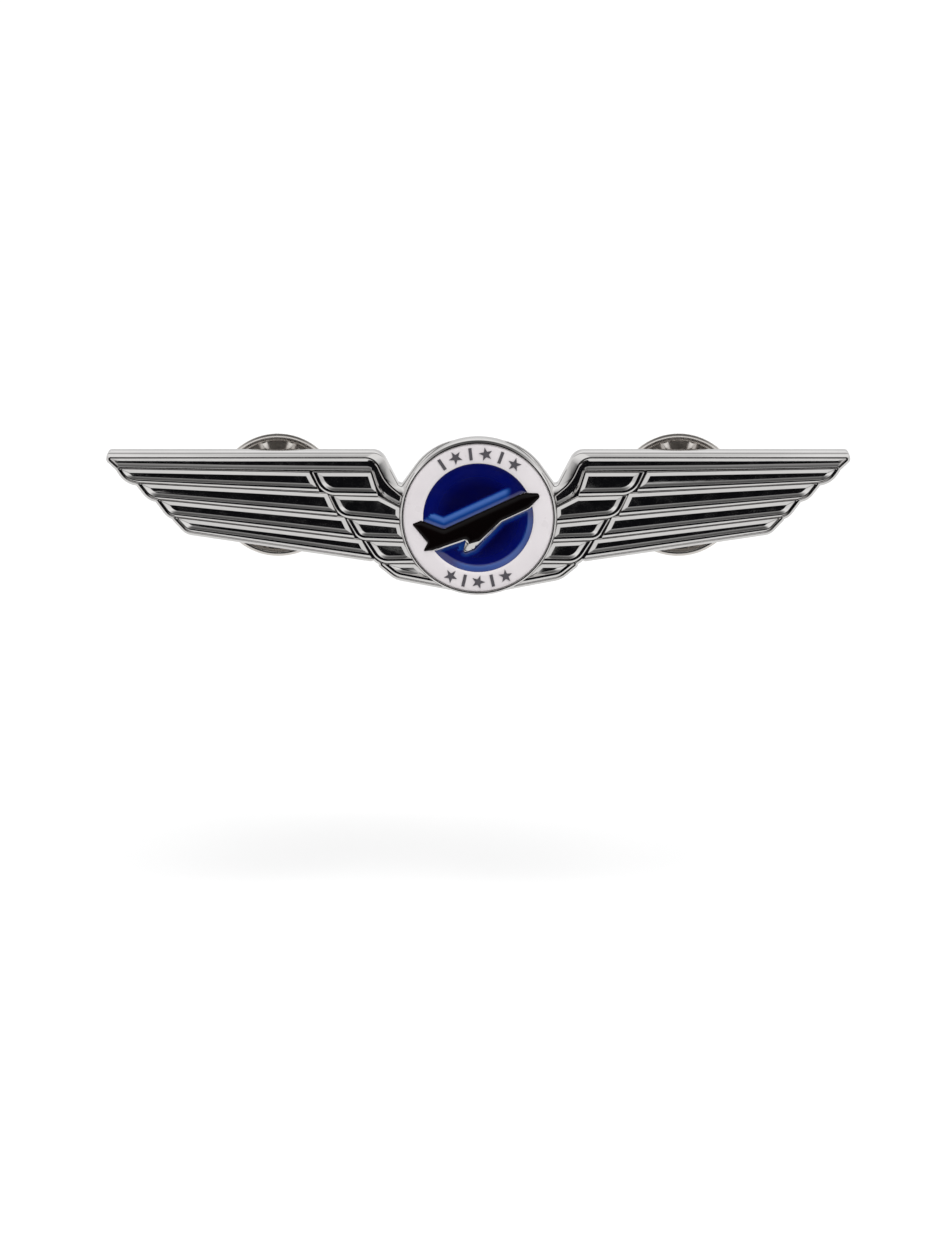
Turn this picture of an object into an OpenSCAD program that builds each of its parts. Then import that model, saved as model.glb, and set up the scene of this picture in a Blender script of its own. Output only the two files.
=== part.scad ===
// Pilot wings pin: a plated casting of two feathered wings and a round enamelled medallion, held on
// cloth by two needle posts and two sprung butterfly clutches.
// Millimetres. Upright as it is worn: +Z up, +X along the wings, and the decorated front faces -Y.
// The origin is the medallion's centre on the flat back face.

/* [Wings] */
// Thickness of the wings, from the back face to the feathers' raised rims
wing_t = 2.4; // [2:0.1:3]
// Depth of the sunk floor of each feather below its rim
feather_depth = 0.25; // [0.15:0.05:0.5]
// Width of the rim between a feather's outline and its sunk floor
feather_rim = 0.35; // [0.25:0.05:0.4]
// Width of the plain border outside the outermost feather outlines
border = 0.3; // [0.24:0.02:0.36]

/* [Medallion] */
// Radius of the medallion over its metal bezel
medallion_r = 7.4; // [7.3:0.05:7.6]
// Thickness of the medallion at its bezel
medallion_t = 2.7; // [2.6:0.1:3]
// Outer radius of the white enamel ring
ring_outer_r = 7.05; // [6.9:0.05:7.2]
// Inner radius of the white ring, which is also the radius of the blue field
ring_inner_r = 5.2; // [4.9:0.1:5.4]
// Depth of the blue field's floor below the bezel
field_depth = 1.1; // [0.6:0.1:1.4]
// Height of the black aircraft above the white ring
aircraft_h = 0.25; // [0.15:0.05:0.4]
// Angle of the aircraft's climb
climb = 22; // [10:1:30]

/* [Posts] */
// Distance from the medallion's centre to each post
post_x = 19; // [18:0.5:20]
// Height of the posts above the medallion's centre
post_z = 1.35; // [1:0.1:2]
// Diameter of a post
post_d = 1.1; // [1:0.05:1.2]
// Length of a post behind the back face, with its point
post_l = 9.3; // [8.8:0.1:10]
// Radius of a post's soldered flange
flange_r = 2; // [1.6:0.1:2.2]

/* [Clutches] */
// Diameter of a clutch disc over its rolled rim
disc_d = 11.8; // [11:0.1:12]
// Room for cloth between the badge and a clutch disc
cloth_gap = 2.1; // [2.05:0.05:2.4]
// Thickness of the sheet that the disc is pressed from
sheet = 0.4; // [0.3:0.05:0.45]
// Thickness of the spring strip
strip_t = 0.3; // [0.25:0.01:0.32]
// Slope of the spring arms where they cross at the post
arm_slope = 15; // [13:1:18]
// Half the width of the spring strip at the disc
strip_hw = 2.2; // [2.1:0.05:2.4]
// Half the width of a finger wing
wing_hw = 2.8; // [2.5:0.1:3]

/* [Hidden] */
$fn = 64;
overrun = 1;

plated = "gainsboro";
white = "white";
navy = "midnightblue";
black = "black";
steel = "silver";

// Straight edges meet at each [x, z, fillet radius]. The points run anticlockwise as seen from the
// front, and are for the wing on the +X side.
LEADING_FEATHER = [
    [34.9, 5.71, 0.15], [9.75, 5.72, 1.4], [8.65, 3.35, 4], [7.1, 2.05, 0],
    [7.33, 0.98, 0], [9.3, 2.05, 3], [10.05, 4.37, 0.3], [22.6, 4.5, 0], [33.85, 4.72, 0.3]
];
FLIGHT_FEATHERS = [
    [[33.85, 4.7, 0.1], [15.85, 4.36, 0.1], [14.85, 2.42, 0.1], [22.6, 2.8, 0], [32.95, 3.36, 2]],
    [[32, 3.3, 0.1], [22.6, 2.8, 0], [14.15, 2.34, 0.1], [13.15, 0.13, 0.1],
        [22.6, 1, 0], [30.85, 1.8, 1.6]],
    [[30.2, 1.73, 0.1], [22.6, 1, 0], [12.55, 0.06, 0.1], [11.55, -2.02, 0.1],
        [22.6, -0.68, 0], [29, 0.1, 1.4]],
    [[28.7, 0.06, 0.1], [22.6, -0.68, 0], [10.95, -2.1, 0.1], [9.95, -3.95, 0.1],
        [22.6, -2.07, 0], [27.4, -1.35, 1.2]]
];
COVERT_FEATHERS = [
    [[15.7, 4.35, 0.1], [10.05, 4.33, 0.1], [9.35, 2, 0.1], [14.7, 2.1, 2]],
    [[14.15, 2.15, 0.1], [9.3, 2, 0.1], [7.33, 0.98, 0], [7.38, -0.58, 0], [13.1, -0.05, 1.8]],
    [[12.5, -0.1, 0.1], [7.38, -0.58, 0], [7, -2.36, 0], [11.3, -2.2, 1.3]],
    [[10.85, -2.2, 0.1], [7, -2.36, 0], [5.95, -4.4, 0], [9.4, -4.45, 1.8]],
    [[9.3, -4.4, 0.1], [5.95, -4.4, 0], [3.6, -6.5, 0], [7.7, -5.7, 2]]
];
FEATHERS = concat([LEADING_FEATHER], FLIGHT_FEATHERS, COVERT_FEATHERS);
// The wider border along the top of the wing and down its shoulder, with a web to the medallion
WIDE_BORDER = [
    [35.35, 6.17, 0.4], [9.1, 6.17, 1.4], [7.5, 3.05, 0.15], [7.2, 2.95, 0.15],
    [4.6, 6.58, 6], [1, 7.3, 0], [6.9, 2, 0], [8.5, 2.3, 0], [9.6, 5, 0], [34.6, 5.2, 0]
];

// A plain airliner, as [along the fuselage, across it, fillet radius] from the medallion's centre
AIRCRAFT = [
    [6.6, -0.12, 0.3], [4.9, 0.62, 1.8], [-3.4, 0.2, 0.5], [-5.1, 1.8, 0.2], [-6, 1.8, 0.12],
    [-5.3, -0.4, 0.1], [-6, -1, 0.1], [-5.1, -1.25, 0.2], [-1.7, -1.4, 0.2], [-2.6, -2.6, 0.15],
    [-1.5, -2.6, 0.4], [1.9, -1.05, 0.6], [4.8, -0.9, 1.5]
];
aircraft_edge = 0.15;
fillet_steps = 8;
fillet_share = 0.75;

// Depths of the medallion's layers, measured along Y
ring_front = 0.05 - medallion_t;
ring_back = 0.4 - medallion_t;
field_front = 0.2 - medallion_t;
field_floor = field_depth - medallion_t;
// The line across the aircraft that parts the two blue fields, measured square to the fuselage
field_split = -0.3;
mark_t = 0.05;
mark_r = (ring_inner_r + ring_outer_r) / 2;
star_r = 0.66;
star_waist_r = 0.27;
star_points = 5;
bar_w = 0.3;
bar_h = 1.15;
upper_marks = 6;
upper_step = 13.5;
lower_marks = 5;
lower_step = 12.5;

// Posts
post_r = post_d / 2;
seat_depth = 0.15;
seat_gap = 0.05;
flange_back = 0.35;
groove_w = 0.7;
groove_depth = 0.12;
point_l = 1.3;
point_r = 0.05;

// Clutch, with each clutch's own X and Z measured from its post
rim_r = 0.35;
rim_mid_r = disc_d / 2 - rim_r;
rim_lip = 190;
rim_steps = 20;
plate_front = cloth_gap + 0.6;
plate_back = plate_front + sheet;
collar_bore_r = post_r + 0.07;
collar_r = post_r + 0.4;
collar_flange_r = 1.5;
collar_flange_t = 0.25;
collar_gap = 0.1;
collar_stand = 0.65;
disc_hole_r = collar_r + 0.05;
nub_count = 12;
nub_circle_r = 4.55;
nub_r = 0.38;
bridge_hw = 2.2;
bridge_hole_r = collar_r + 0.15;
lug_hw = 0.9;
lug_t = 0.4;
lug_gap = 0.05;
bend_x = 2.9;
bend_y = plate_back + 0.75;
bend_pin_r = 0.25;
bend_bore_r = bend_pin_r + 0.07;
bend_r = bend_bore_r + 0.28;
bend_strip_t = 0.25;
bend_overlap = 0.1;
roll_opening = -75;
wing_slope = 42;
waist_x = 1.9;
wing_x = 4.6;
curl_r = 0.6;
curl_turn = 70;
curl_steps = 6;
jaw_x = post_r + 0.2;
slot_x = 1.5;
post_slot_hw = post_r + 0.12;
neck_hw = 1.3;
neck_slot_hw = neck_hw + 0.25;

// The arms start on top of the bend and cross where the post's groove is
arm_start = [-bend_x, bend_y] + (bend_bore_r + bend_r) / 2 * [-sin(arm_slope), cos(arm_slope)];
cross_y = arm_start.y - arm_start.x * tan(arm_slope);
waist_y = cross_y + waist_x * tan(arm_slope);
wing_y = waist_y + (wing_x - waist_x) * tan(wing_slope);

// ---- Outline geometry ----

function unit(v) = v / norm(v);
function left_of(v) = [-v.y, v.x];
function corner(p, i) = let (q = p[(i + len(p)) % len(p)]) [q.x, q.y];
function turn(p, i) = cross(corner(p, i) - corner(p, i - 1), corner(p, i + 1) - corner(p, i));

// The corners of outline p moved d inwards, or outwards where d is negative, with fillets to match
function inset(p, d) = [
    for (i = [0:len(p) - 1])
        let (
            before = left_of(unit(corner(p, i) - corner(p, i - 1))),
            after = left_of(unit(corner(p, i + 1) - corner(p, i))),
            q = corner(p, i) + d * (before + after) / (1 + before * after),
            r = p[i][2] + (turn(p, i) > 0 ? -d : d)
        )
        [q.x, q.y, p[i][2] == 0 ? 0 : max(r, 0.02)]
];

// The arc that rounds the corner b between a and c, made smaller where an edge is too short for it
function fillet(a, b, c, most) =
    let (
        u = unit(a - b),
        v = unit(c - b),
        half = acos(u * v) / 2,
        r = min(most, fillet_share * min(norm(a - b), norm(c - b)) * tan(half)),
        centre = b + unit(u + v) * r / sin(half),
        start = b + u * r / tan(half) - centre,
        end = b + v * r / tan(half) - centre
    )
    [for (k = [0:fillet_steps])
        let (w = start * (1 - k / fillet_steps) + end * k / fillet_steps)
        centre + unit(w) * r];

function rounded(p) = [
    for (i = [0:len(p) - 1])
        each (p[i][2] == 0
            ? [corner(p, i)]
            : fillet(corner(p, i - 1), corner(p, i), corner(p, i + 1), p[i][2]))
];

function turned(p, angle) = [
    for (q = p)
        [q.x * cos(angle) - q.y * sin(angle), q.x * sin(angle) + q.y * cos(angle), q[2]]
];

// A strip of thickness t along an open path, as an outline
function strip(path, t) =
    let (
        last = len(path) - 1,
        side = [
            for (i = [0:last])
                let (
                    before = left_of(unit(path[max(i, 1)] - path[max(i, 1) - 1])),
                    after = left_of(unit(path[min(i, last - 1) + 1] - path[min(i, last - 1)]))
                )
                (before + after) / (1 + before * after) * t / 2
        ]
    )
    concat([for (i = [0:last]) path[i] + side[i]], [for (i = [last:-1:0]) path[i] - side[i]]);

// A pie slice of radius r between two angles
function sector(r, from, to) = concat(
    [[0, 0]],
    [for (k = [0:4]) let (a = from + k * (to - from) / 4) r * [cos(a), sin(a)]]
);

function star(r, waist) = [
    for (i = [0:2 * star_points - 1])
        let (a = 90 + i * 180 / star_points, s = i % 2 == 0 ? r : waist)
        [s * cos(a), s * sin(a)]
];

// ---- Placing ----

// A flat outline, drawn in X and Z, given thickness from y_front back to y_back
module slab(y_front, y_back) {
    translate([0, y_back, 0])
        rotate([90, 0, 0])
            linear_extrude(y_back - y_front)
                children();
}

// A turned shape, drawn as radius and Y, about the post on one side
module turned_at(side) {
    translate([side * post_x, 0, post_z])
        rotate([-90, 0, 0])
            rotate_extrude()
                children();
}

module at_post(side) {
    translate([side * post_x, 0, post_z])
        children();
}

module both_wings() {
    children();
    mirror([1, 0, 0])
        children();
}

// ---- Badge ----

module aircraft_outline(d) {
    polygon(rounded(inset(turned(AIRCRAFT, climb), d)));
}

// The raised metal island under the aircraft, within the blue field
module island(y_front, y_back) {
    intersection() {
        slab(y_front, y_back)
            aircraft_outline(-aircraft_edge);
        slab(y_front, y_back)
            circle(ring_inner_r);
    }
}

module wing_blank() {
    slab(-wing_t, 0) {
        for (feather = FEATHERS)
            polygon(rounded(inset(feather, -border)));
        polygon(rounded(WIDE_BORDER));
    }
}

module feather_recesses() {
    for (feather = FEATHERS)
        slab(-wing_t - overrun, feather_depth - wing_t)
            polygon(rounded(inset(feather, feather_rim)));
}

module badge_casting() {
    color(plated) {
        difference() {
            union() {
                both_wings()
                    difference() {
                        wing_blank();
                        feather_recesses();
                    }
                slab(-medallion_t, 0)
                    circle(medallion_r);
            }
            slab(-medallion_t - overrun, ring_back)
                circle(ring_outer_r);
            slab(-medallion_t - overrun, field_floor)
                circle(ring_inner_r);
            for (side = [-1, 1])
                at_post(side)
                    slab(-seat_depth, overrun)
                        circle(flange_r + seat_gap);
        }
        island(ring_front, field_floor);
    }
}

module white_ring_enamel() {
    color(white)
        slab(ring_front, ring_back)
            difference() {
                circle(ring_outer_r);
                circle(ring_inner_r);
            }
}

// Half of the blue field: above the aircraft where side is 1, and below it where side is -1
module blue_half(side) {
    difference() {
        intersection() {
            slab(field_front, field_floor)
                circle(ring_inner_r);
            rotate([0, -climb, 0])
                translate([0, 0, field_split + side * ring_inner_r])
                    cube([4, 4, 2] * ring_inner_r, center = true);
        }
        slab(field_front - overrun, field_floor + overrun)
            aircraft_outline(-aircraft_edge);
    }
}

module blue_enamel_upper() {
    color(navy)
        blue_half(1);
}

module blue_enamel_lower() {
    color(navy)
        blue_half(-1);
}

module black_aircraft_enamel() {
    color(black)
        slab(ring_front - aircraft_h, ring_front)
            aircraft_outline(0);
}

// Stars and bars in turn along an arc of the ring, centred on the angle middle
module mark_row(count, step, middle) {
    for (i = [0:count - 1])
        rotate([0, -middle - (i - (count - 1) / 2) * step, 0])
            translate([mark_r, 0, 0])
                slab(ring_front - mark_t, ring_front)
                    if (i % 2 == 0)
                        polygon(star(star_r, star_waist_r));
                    else
                        square([bar_h, bar_w], center = true);
}

module ring_marks() {
    color(steel) {
        mark_row(upper_marks, upper_step, 90);
        mark_row(lower_marks, lower_step, -90);
    }
}

// ---- Posts ----

module post(side) {
    shaft_end = post_l - point_l;
    color(steel)
        turned_at(side)
            polygon([
                [0, -seat_depth], [flange_r, -seat_depth], [flange_r, flange_back],
                [post_r, flange_back],
                [post_r, cross_y - groove_w / 2], [post_r - groove_depth, cross_y],
                [post_r, cross_y + groove_w / 2],
                [post_r, shaft_end], [point_r, post_l], [0, post_l]
            ]);
}

// ---- Clutches ----

// The neck that guides the disc along the post
module clutch_collar(side) {
    flange_end = plate_front - collar_gap;
    flange_start = flange_end - collar_flange_t;
    neck_end = plate_back + collar_stand;
    color(steel)
        turned_at(side)
            polygon([
                [collar_bore_r, flange_start], [collar_flange_r, flange_start],
                [collar_flange_r, flange_end], [collar_r, flange_end],
                [collar_r, neck_end], [collar_bore_r, neck_end]
            ]);
}

// A bent-over lug that clamps one edge of the spring to the disc
module lug(edge) {
    mirror([0, 0, edge < 0 ? 1 : 0])
        translate([-lug_hw, plate_back - sheet / 2, 0]) {
            translate([0, 0, strip_hw + lug_gap])
                cube([2 * lug_hw, strip_t + lug_gap + lug_t + sheet / 2, lug_t]);
            translate([0, strip_t + lug_gap + sheet / 2, strip_hw - lug_t])
                cube([2 * lug_hw, lug_t, 2 * lug_t + lug_gap]);
        }
}

module clutch_disc(side) {
    color(steel) {
        turned_at(side)
            polygon(concat(
                [[disc_hole_r, plate_back], [disc_hole_r, plate_front]],
                [for (a = [rim_lip:-(rim_lip + 90) / rim_steps:-90])
                    [rim_mid_r, cloth_gap + rim_r] + rim_r * [cos(a), -sin(a)]]
            ));
        at_post(side) {
            for (i = [0:nub_count - 1])
                rotate([0, (i + 0.5) * 360 / nub_count, 0])
                    translate([0, plate_front, nub_circle_r])
                        sphere(nub_r);
            lug(1);
            lug(-1);
        }
    }
}

// The middle of the spring strip, flat on the disc, with a rolled bend at each end
module clutch_bridge(side) {
    color(steel)
        at_post(side) {
            difference() {
                translate([-bridge_hw, plate_back, -strip_hw])
                    cube([2 * bridge_hw, strip_t, 2 * strip_hw]);
                slab(plate_back - overrun, plate_back + overrun)
                    circle(bridge_hole_r);
            }
            for (end = [-1, 1]) {
                linear_extrude(2 * strip_hw, center = true)
                    polygon(strip([
                        [end * (bridge_hw - bend_overlap), plate_back + strip_t / 2],
                        [end * bend_x, bend_y]
                    ], bend_strip_t));
                translate([end * bend_x, bend_y, 0])
                    cylinder(h = 2 * strip_hw, r = bend_pin_r, center = true);
            }
        }
}

// The centre line of the arm that bends up at -X and ends in a finger wing at +X
ARM_PATH = concat(
    [arm_start, [waist_x, waist_y]],
    let (centre = [wing_x, wing_y] + curl_r * [sin(wing_slope), -cos(wing_slope)])
    [for (k = [0:curl_steps])
        let (a = 90 + wing_slope - k * curl_turn / curl_steps)
        centre + curl_r * [cos(a), sin(a)]]
);

// The arm's outline seen from behind
ARM_PLAN = [
    [7, wing_hw, 2.2], [3.6, wing_hw, 1.5], [1.6, strip_hw, 1.5], [-4, strip_hw, 0],
    [-4, -strip_hw, 0], [1.6, -strip_hw, 1.5], [3.6, -wing_hw, 1.5], [7, -wing_hw, 2.2]
];

module arm_blank() {
    intersection() {
        union() {
            linear_extrude(2 * wing_hw + overrun, center = true)
                polygon(strip(ARM_PATH, strip_t));
            translate([-bend_x, bend_y, 0])
                difference() {
                    cylinder(h = 2 * strip_hw, r = bend_r, center = true);
                    cylinder(h = 2 * strip_hw + overrun, r = bend_bore_r, center = true);
                    // the roll is open on the side where the bridge enters it
                    linear_extrude(2 * strip_hw + overrun, center = true)
                        polygon(sector(bend_r + overrun, roll_opening, 90 + arm_slope));
                }
        }
        slab(plate_back - overrun, post_l + overrun)
            polygon(rounded(ARM_PLAN));
    }
}

module slot(x0, x1, hw) {
    translate([x0, plate_back, -hw])
        cube([x1 - x0, post_l, 2 * hw]);
}

// The arm that straddles the other one: its jaw is the slot's edge beside the post
module clutch_arm_outer(side) {
    color(steel)
        at_post(side)
            difference() {
                arm_blank();
                slot(-jaw_x, slot_x, neck_slot_hw);
            }
}

// The arm whose narrow neck passes through the other one, with a slot for the post
module clutch_arm_inner(side) {
    color(steel)
        at_post(side)
            mirror([1, 0, 0])
                difference() {
                    arm_blank();
                    slot(-jaw_x, slot_x, post_slot_hw);
                    for (edge = [-1, 1])
                        translate([-slot_x, plate_back, edge > 0 ? neck_hw : -neck_hw - strip_hw])
                            cube([2 * slot_x, post_l, strip_hw]);
                }
}

badge_casting();
white_ring_enamel();
blue_enamel_upper();
blue_enamel_lower();
black_aircraft_enamel();
ring_marks();
post(-1);  // post_left
post(1);  // post_right
clutch_collar(-1);  // clutch_collar_left
clutch_disc(-1);  // clutch_disc_left
clutch_bridge(-1);  // clutch_bridge_left
clutch_arm_outer(-1);  // clutch_arm_outer_left
clutch_arm_inner(-1);  // clutch_arm_inner_left
clutch_collar(1);  // clutch_collar_right
clutch_disc(1);  // clutch_disc_right
clutch_bridge(1);  // clutch_bridge_right
clutch_arm_outer(1);  // clutch_arm_outer_right
clutch_arm_inner(1);  // clutch_arm_inner_right
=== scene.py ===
import math

import bmesh
import bpy
import numpy as np
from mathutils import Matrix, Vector
from mathutils.geometry import delaunay_2d_cdt


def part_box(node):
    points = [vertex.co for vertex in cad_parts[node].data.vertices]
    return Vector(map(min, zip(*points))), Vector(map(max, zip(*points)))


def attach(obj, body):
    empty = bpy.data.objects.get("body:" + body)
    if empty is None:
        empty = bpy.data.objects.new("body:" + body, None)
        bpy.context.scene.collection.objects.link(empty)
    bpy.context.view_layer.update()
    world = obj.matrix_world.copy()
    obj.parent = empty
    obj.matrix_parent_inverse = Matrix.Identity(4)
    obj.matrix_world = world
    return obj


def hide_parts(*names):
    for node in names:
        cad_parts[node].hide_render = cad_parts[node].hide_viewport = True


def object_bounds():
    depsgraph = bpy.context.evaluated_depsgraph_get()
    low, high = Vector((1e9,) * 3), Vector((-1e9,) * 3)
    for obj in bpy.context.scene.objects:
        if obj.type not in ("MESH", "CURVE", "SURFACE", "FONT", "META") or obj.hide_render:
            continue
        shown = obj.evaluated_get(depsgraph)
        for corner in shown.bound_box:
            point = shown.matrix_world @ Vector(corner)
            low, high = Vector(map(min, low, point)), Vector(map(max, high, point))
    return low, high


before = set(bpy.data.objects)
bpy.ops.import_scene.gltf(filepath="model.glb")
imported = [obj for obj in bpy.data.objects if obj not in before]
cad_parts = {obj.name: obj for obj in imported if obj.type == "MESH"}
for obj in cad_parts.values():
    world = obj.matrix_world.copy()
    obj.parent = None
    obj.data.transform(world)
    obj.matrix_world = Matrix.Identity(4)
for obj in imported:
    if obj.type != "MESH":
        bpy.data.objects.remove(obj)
cad_low, cad_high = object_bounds()

# Lengths are in millimetres until a mesh is made, and MM turns them into metres.
MM = 0.001
SIDEWAYS = Vector((1, 0, 0))
SIDES = {"left": -1, "right": 1}


def box_mm(node):
    low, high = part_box(node)
    return low / MM, high / MM


CASTING_LOW, _ = box_mm("badge_casting")
RING_LOW, RING_HIGH = box_mm("white_ring_enamel")
BLUE_LOW, BLUE_HIGH = box_mm("blue_enamel_upper")
AIRCRAFT_LOW, AIRCRAFT_HIGH = box_mm("black_aircraft_enamel")
POST_LOW, POST_HIGH = box_mm("post_right")
COLLAR_LOW, COLLAR_HIGH = box_mm("clutch_collar_right")
DISC_LOW, DISC_HIGH = box_mm("clutch_disc_right")
BRIDGE_LOW, _ = box_mm("clutch_bridge_right")

# ---- Outlines, seen from the front, as [x, z, fillet radius] for the wing on the +X side ----
LEADING_FEATHER = [
    (34.9, 5.71, 0.15), (9.75, 5.72, 1.4), (8.65, 3.35, 4), (7.1, 2.05, 0),
    (7.33, 0.98, 0), (9.3, 2.05, 3), (10.05, 4.37, 0.3), (22.6, 4.5, 0), (33.85, 4.72, 0.3),
]
FLIGHT_FEATHERS = [
    [(33.85, 4.7, 0.1), (15.85, 4.36, 0.1), (14.85, 2.42, 0.1), (22.6, 2.8, 0), (32.95, 3.36, 2)],
    [(32, 3.3, 0.1), (22.6, 2.8, 0), (14.15, 2.34, 0.1), (13.15, 0.13, 0.1),
     (22.6, 1, 0), (30.85, 1.8, 1.6)],
    [(30.2, 1.73, 0.1), (22.6, 1, 0), (12.55, 0.06, 0.1), (11.55, -2.02, 0.1),
     (22.6, -0.68, 0), (29, 0.1, 1.4)],
    [(28.7, 0.06, 0.1), (22.6, -0.68, 0), (10.95, -2.1, 0.1), (9.95, -3.95, 0.1),
     (22.6, -2.07, 0), (27.4, -1.35, 1.2)],
]
COVERT_FEATHERS = [
    [(15.7, 4.35, 0.1), (10.05, 4.33, 0.1), (9.35, 2, 0.1), (14.7, 2.1, 2)],
    [(14.15, 2.15, 0.1), (9.3, 2, 0.1), (7.33, 0.98, 0), (7.38, -0.58, 0), (13.1, -0.05, 1.8)],
    [(12.5, -0.1, 0.1), (7.38, -0.58, 0), (7, -2.36, 0), (11.3, -2.2, 1.3)],
    [(10.85, -2.2, 0.1), (7, -2.36, 0), (5.95, -4.4, 0), (9.4, -4.45, 1.8)],
    [(9.3, -4.4, 0.1), (5.95, -4.4, 0), (3.6, -6.5, 0), (7.7, -5.7, 2)],
]
FEATHERS = [LEADING_FEATHER, *FLIGHT_FEATHERS, *COVERT_FEATHERS]
# The wider border along the top of the wing and down its shoulder, with a web to the medallion
WIDE_BORDER = [
    (35.35, 6.17, 0.4), (9.1, 6.17, 1.4), (7.5, 3.05, 0.15), (7.2, 2.95, 0.15),
    (4.6, 6.58, 6), (1, 7.3, 0), (6.9, 2, 0), (8.5, 2.3, 0), (9.6, 5, 0), (34.6, 5.2, 0),
]
CLIMB = math.radians(22)
FIELD_SPLIT = -0.3
# The near wing's tip, on the raised metal and on the black enamel, which stops short of it
WING_TIP = [(-2.6, -2.6, 0.15), (-1.5, -2.6, 0.4)]
BLACK_WING_TIP = [(-1.75, -1.98, 0.08), (-0.7, -2.08, 0.25)]
UPPER_GROWTH = 0.15


def aircraft_outline(tip, grown):
    """A plain airliner with a given wing tip. It grows less along the edges that face up."""
    # As (along the fuselage, across it, fillet radius) from the medallion's centre
    corners = [
        (6.6, -0.12, 0.3), (4.9, 0.62, 1.8), (-3.4, 0.2, 0.5), (-5.1, 1.8, 0.2), (-6, 1.8, 0.12),
        (-5.3, -0.4, 0.1), (-6, -1, 0.1), (-5.1, -1.25, 0.2), (-1.7, -1.4, 0.2), *tip,
        (1.9, -1.05, 0.6), (4.8, -0.9, 1.5),
    ]
    return rounded(offset(
        turned(corners, CLIMB),
        lambda outward, x: -grown * (UPPER_GROWTH if outward.y > 0.1 else 1),
    ))


# ---- Badge sizes ----
WING_FRONT = -2.4
FEATHER_FLOOR = WING_FRONT + 0.2
GROOVE_FLOOR = WING_FRONT + 0.4
GROOVE_HALF = 0.04
# An edge that faces up or down by more than this is one of a feather's long walls
LONG_WALL = 0.75
BORDER = 0.3
BORDER_SLOPE = 0.33
PLATE_T = 0.3
BACK_CHAMFER = 0.1
MEDALLION_R = -CASTING_LOW.z
MEDALLION_FRONT = CASTING_LOW.y
RING_R = RING_HIGH.x
RING_GAP = 0.03
FIELD_R = 5.2
MARK_R = (FIELD_R + RING_R) / 2
AIRCRAFT_EDGE = 0.15
BLUE_DEPTH = 0.32
ENAMEL_GRID = 0.15

# ---- How outlines are drawn ----
FILLET_STEPS = 8
# A fillet takes up no more than this share of an edge
FILLET_SHARE = 0.75
ROUND_STEPS = 192
# Points of a joined outline that are closer than this are merged
CLOSEST = 0.02
# A fillet of a corner that is moved inwards gets no smaller than this
SMALLEST_FILLET = 0.02
# Two edges count as one line where the sine of the angle between them is below this
STRAIGHT = 0.2

# ---- Post and clutch sizes, with each clutch's X and Z measured from its post ----
POST_X = (POST_LOW.x + POST_HIGH.x) / 2
POST_Z = (POST_LOW.z + POST_HIGH.z) / 2
POST_R = 0.55
FLANGE_R = POST_HIGH.x - POST_X
FLANGE_BACK = 0.35
CROSSING_Y = 5.1
BORE_R = POST_R + 0.07
NECK_R = POST_R + 0.4
SHEET_T = 0.4
RIM_R = 0.35
RIM_MID_R = DISC_HIGH.x - POST_X - RIM_R
PLATE_BACK = BRIDGE_LOW.y
PLATE_FRONT = PLATE_BACK - SHEET_T
NUB_COUNT = 12
NUB_CIRCLE_R = 4.55
NUB_R, NUB_HEIGHT = 0.5, 0.34
STRIP_T = 0.28
BRIDGE_T = 0.3
BRIDGE_HALF = 2.2
BEND_X = 2.9
BEND_Y = PLATE_BACK + 0.75
PIN_R = 0.25
ROLL_R, ROLL_STEPS = 0.46, 18
SLOT_START, NECK_REACH = -0.75, 1.5
ARM_SLOPE = math.radians(15)
WING_SLOPE = math.radians(42)
WAIST_X, WING_X = 1.9, 4.6
WING_HALF = 2.8
CURL_R, CURL_TURN = 0.6, math.radians(70)


# ---- Outline geometry ----
def left_of(v):
    """The direction a quarter turn to the left."""
    return Vector((-v.y, v.x))


def plan(corner):
    """A corner's place, without its fillet radius."""
    return Vector(corner[:2])


def offset(corners, distance):
    """The corners moved in from each edge by distance(outward normal, x), with fillets to match."""
    moved = []
    for i, corner in enumerate(corners):
        here = plan(corner)
        before = (here - plan(corners[i - 1])).normalized()
        after = (plan(corners[(i + 1) % len(corners)]) - here).normalized()
        a, b = left_of(before), left_of(after)
        to_a, to_b = distance(-a, here.x), distance(-b, here.x)
        mean = (to_a + to_b) / 2
        bend = a.x * b.y - a.y * b.x
        if abs(bend) < STRAIGHT:
            shift = (a + b) * mean / (1 + a.dot(b))
        else:
            shift = Vector((to_a * b.y - to_b * a.y, to_b * a.x - to_a * b.x)) / bend
        radius = corner[2] - mean if bend > 0 else corner[2] + mean
        moved.append((*(here + shift), max(radius, SMALLEST_FILLET) if corner[2] else 0))
    return moved


def inset(corners, amount):
    """The corners moved in by the same amount from every edge."""
    return offset(corners, lambda outward, x: amount)


def fillet(a, b, c, most):
    """The arc that rounds the corner b between a and c, made smaller where an edge is too short."""
    u, v = (a - b).normalized(), (c - b).normalized()
    half = math.acos(max(-1, min(1, u.dot(v)))) / 2
    radius = min(most, FILLET_SHARE * min((a - b).length, (c - b).length) * math.tan(half))
    centre = b + (u + v).normalized() * radius / math.sin(half)
    start, end = (b + w * radius / math.tan(half) - centre for w in (u, v))
    shares = [k / FILLET_STEPS for k in range(FILLET_STEPS + 1)]
    return [centre + (start * (1 - k) + end * k).normalized() * radius for k in shares]


def rounded(corners):
    """The points of an outline, with an arc at each corner that has a fillet radius."""
    points = []
    for i, corner in enumerate(corners):
        if corner[2]:
            after = corners[(i + 1) % len(corners)]
            points += fillet(plan(corners[i - 1]), plan(corner), plan(after), corner[2])
        else:
            points.append(plan(corner))
    return points


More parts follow.
